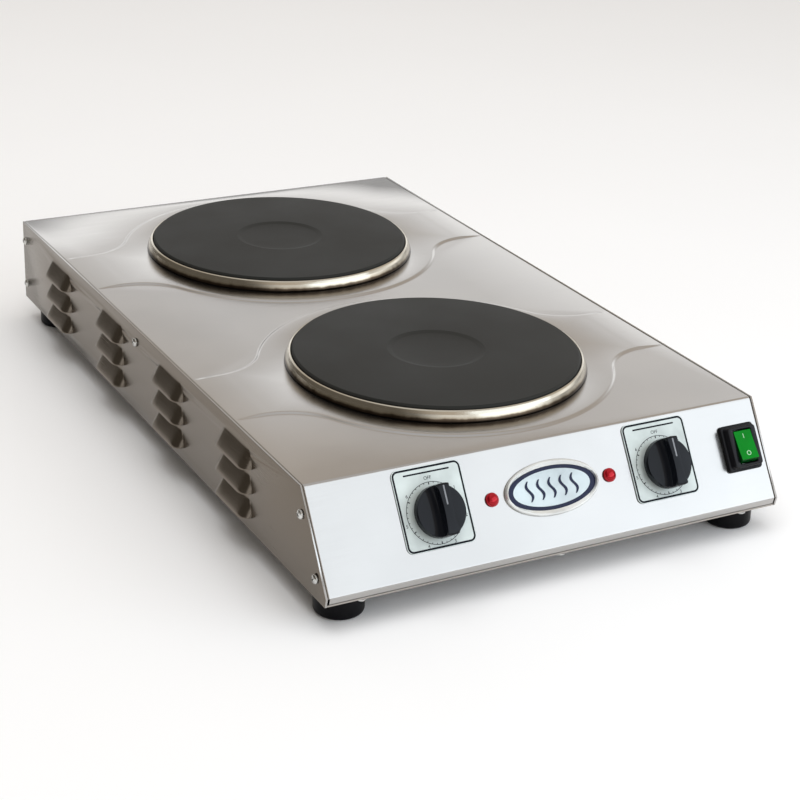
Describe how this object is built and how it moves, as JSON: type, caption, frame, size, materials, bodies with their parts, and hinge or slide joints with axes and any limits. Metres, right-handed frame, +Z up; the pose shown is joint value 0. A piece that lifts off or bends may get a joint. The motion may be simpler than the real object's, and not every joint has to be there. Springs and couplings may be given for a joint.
{
  "type": "countertop hot plate",
  "caption": "Countertop electric hot plate: cast-iron cooking plates one behind the other on a louvred stainless casing, with a sloping control front.",
  "frame": {"origin": "on the counter, under the middle of the whole object", "axes": "+X to the right of someone facing the controls, +Y from the controls to the back, +Z up"},
  "size_m": [0.316, 0.5324, 0.0832],
  "materials": {
    "stainless_casing": "satin brushed stainless sheet with faint grain",
    "cast_iron_plate": "blackened matt cast iron, finely turned",
    "polished_ring": "polished stainless, browned by heat at the foot",
    "zinc_fixings": "bright zinc-plated steel",
    "rubber_foot": "black satin rubber",
    "dial_print": "pale printed plate with black scale",
    "knob_black": "glossy black moulding",
    "lamp_red": "clear red domed lens",
    "rocker_green": "translucent green, lit from inside",
    "badge_silver": "silver rim and pale face with a dark ring",
    "housing_black": "black moulded plastic",
    "terminal_ceramic": "unglazed cream ceramic",
    "lead_insulation": "heat-proof woven sleeve, red-brown"
  },
  "bodies": {
    "casing": {"back_panel": "stainless_casing", "badge": "badge_silver", "base_panel": "stainless_casing", "cable_gland": "housing_black", "clamp_bar_front": "zinc_fixings", "clamp_bar_rear": "zinc_fixings", "dial_plate_left": "dial_print", "dial_plate_right": "dial_print", "energy_regulator_left": "housing_black", "energy_regulator_right": "housing_black", "foot_front_left": "rubber_foot", "foot_front_right": "rubber_foot", "foot_rear_left": "rubber_foot", "foot_rear_right": "rubber_foot", "foot_screw_front_left": "zinc_fixings", "foot_screw_front_right": "zinc_fixings", "foot_screw_rear_left": "zinc_fixings", "foot_screw_rear_right": "zinc_fixings", "gland_nut": "housing_black", "hot_plate_front": "cast_iron_plate", "hot_plate_rear": "cast_iron_plate", "lead_front_plate": "lead_insulation", "lead_mains_to_switch": "lead_insulation", "lead_rear_plate": "lead_insulation", "mains_terminal": "terminal_ceramic", "pilot_body_left": "housing_black", "pilot_body_right": "housing_black", "pilot_lens_left": "lamp_red", "pilot_lens_right": "lamp_red", "plate_nut_front": "zinc_fixings", "plate_nut_rear": "zinc_fixings", "plate_stud_front": "zinc_fixings", "plate_stud_rear": "zinc_fixings", "plate_terminal_front": "terminal_ceramic", "plate_terminal_rear": "terminal_ceramic", "screw_base_left": "zinc_fixings", "screw_base_middle": "zinc_fixings", "screw_base_right": "zinc_fixings", "screw_left_front_lower": "zinc_fixings", "screw_left_front_upper": "zinc_fixings", "screw_left_middle": "zinc_fixings", "screw_left_rear_lower": "zinc_fixings", "screw_left_rear_upper": "zinc_fixings", "screw_right_front_lower": "zinc_fixings", "screw_right_front_upper": "zinc_fixings", "screw_right_middle": "zinc_fixings", "screw_right_rear_lower": "zinc_fixings", "screw_right_rear_upper": "zinc_fixings", "side_panel_left": "stainless_casing", "side_panel_right": "stainless_casing", "switch_body": "housing_black", "switch_frame": "housing_black", "top_cover": "stainless_casing", "trim_ring_front": "polished_ring", "trim_ring_rear": "polished_ring"},
    "knob_left": {"knob_left": "knob_black", "knob_shaft_left": "zinc_fixings"},
    "knob_right": {"knob_right": "knob_black", "knob_shaft_right": "zinc_fixings"},
    "rocker": {"rocker": "rocker_green"}
  },
  "joints": [
    {"name": "knob_left_turn", "type": "hinge", "parent": "casing", "child": "knob_left", "pos_m": [-0.0762, -0.24345, 0.04924], "axis": [0, -0.8381, 0.5455], "continuous": true},
    {"name": "knob_right_turn", "type": "hinge", "parent": "casing", "child": "knob_right", "pos_m": [0.0762, -0.24345, 0.04924], "axis": [0, -0.8381, 0.5455], "continuous": true},
    {"name": "rocker_tilt", "type": "hinge", "parent": "casing", "child": "rocker", "pos_m": [0.1335, -0.24563, 0.05138], "axis": [1, 0, 0], "range_deg": [0, 16]}
  ]
}
